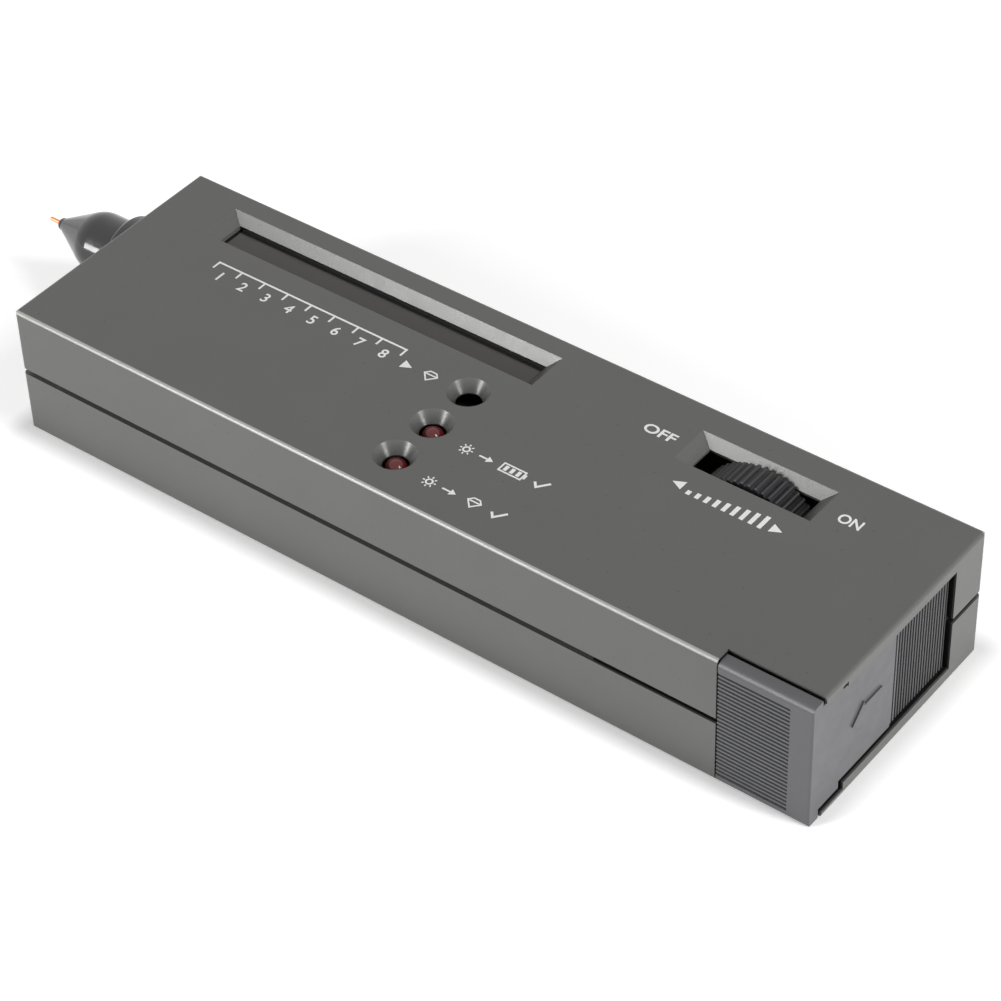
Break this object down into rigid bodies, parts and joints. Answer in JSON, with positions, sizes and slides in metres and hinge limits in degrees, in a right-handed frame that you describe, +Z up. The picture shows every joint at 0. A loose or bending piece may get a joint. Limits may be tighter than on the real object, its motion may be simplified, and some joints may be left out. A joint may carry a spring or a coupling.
{
  "type": "diamond tester",
  "caption": "Handheld diamond tester: two-part box case with a bar-graph window, red lamps, a ribbed volume wheel, a sliding battery door and a sprung copper probe tip.",
  "frame": {"origin": "underside of the case, below the middle of the whole length from probe tip to door end", "axes": "+X from the probe tip to the battery-door end, +Y towards the window side, +Z up through the top panel"},
  "size_m": [0.1834, 0.0468, 0.0251],
  "materials": {
    "case_plastic": "fine satin texture",
    "door_plastic": "satin, moulded ridges",
    "wheel_plastic": "satin",
    "smoked_lens": "clear smoked, polished",
    "red_resin": "clear red epoxy",
    "black_plastic": "moulded",
    "probe_gloss": "polished",
    "tip_copper": "bare copper",
    "screw_steel": "zinc plated",
    "tinned_metal": "tinned",
    "board_laminate": "solder mask",
    "resistor_lacquer": "lacquer",
    "capacitor_sleeve": "printed sleeve",
    "battery_jacket": "lacquered metal jacket",
    "lead_insulation": "flexible insulation",
    "insulator": "moulded insulator"
  },
  "bodies": {
    "case": {"upper_case": "case_plastic", "lower_case": "case_plastic", "display_window": "smoked_lens", "bar_leds": "red_resin", "battery_lamp": "red_resin", "ready_lamp": "red_resin", "buzzer": "black_plastic", "main_board": "board_laminate", "driver_chips": "black_plastic", "resistors": "resistor_lacquer", "capacitors": "capacitor_sleeve", "transistor": "black_plastic", "control_body": "black_plastic", "control_lugs": "tinned_metal", "control_leads": "lead_insulation", "battery": "battery_jacket", "battery_studs": "tinned_metal", "battery_snap": "black_plastic", "battery_leads": "lead_insulation", "probe_nose": "probe_gloss", "probe_collar": "probe_gloss", "tip_spring": "screw_steel", "tip_carrier": "insulator", "tip_heater": "resistor_lacquer", "probe_leads": "lead_insulation", "case_screws": "screw_steel", "board_screws": "screw_steel"},
    "volume_wheel": {"volume_wheel": "wheel_plastic", "wheel_screw": "screw_steel", "control_shaft": "screw_steel"},
    "battery_door": {"battery_door": "door_plastic"},
    "probe_tip": {"probe_tip": "tip_copper"}
  },
  "joints": [
    {"name": "volume_turn", "type": "hinge", "parent": "case", "child": "volume_wheel", "pos_m": [0.05665, 0.01347, 0.01385], "axis": [0, 1, 0], "range_deg": [0, 280]},
    {"name": "door_slide", "type": "slide", "parent": "case", "child": "battery_door", "axis": [0, -1, 0], "range_m": [0, 0.04]},
    {"name": "tip_press", "type": "slide", "parent": "case", "child": "probe_tip", "axis": [1, 0, 0], "range_m": [0, 0.0015], "stiffness_N_per_m": 300, "springref_m": -0.002, "deforming": ["tip_spring"]}
  ]
}
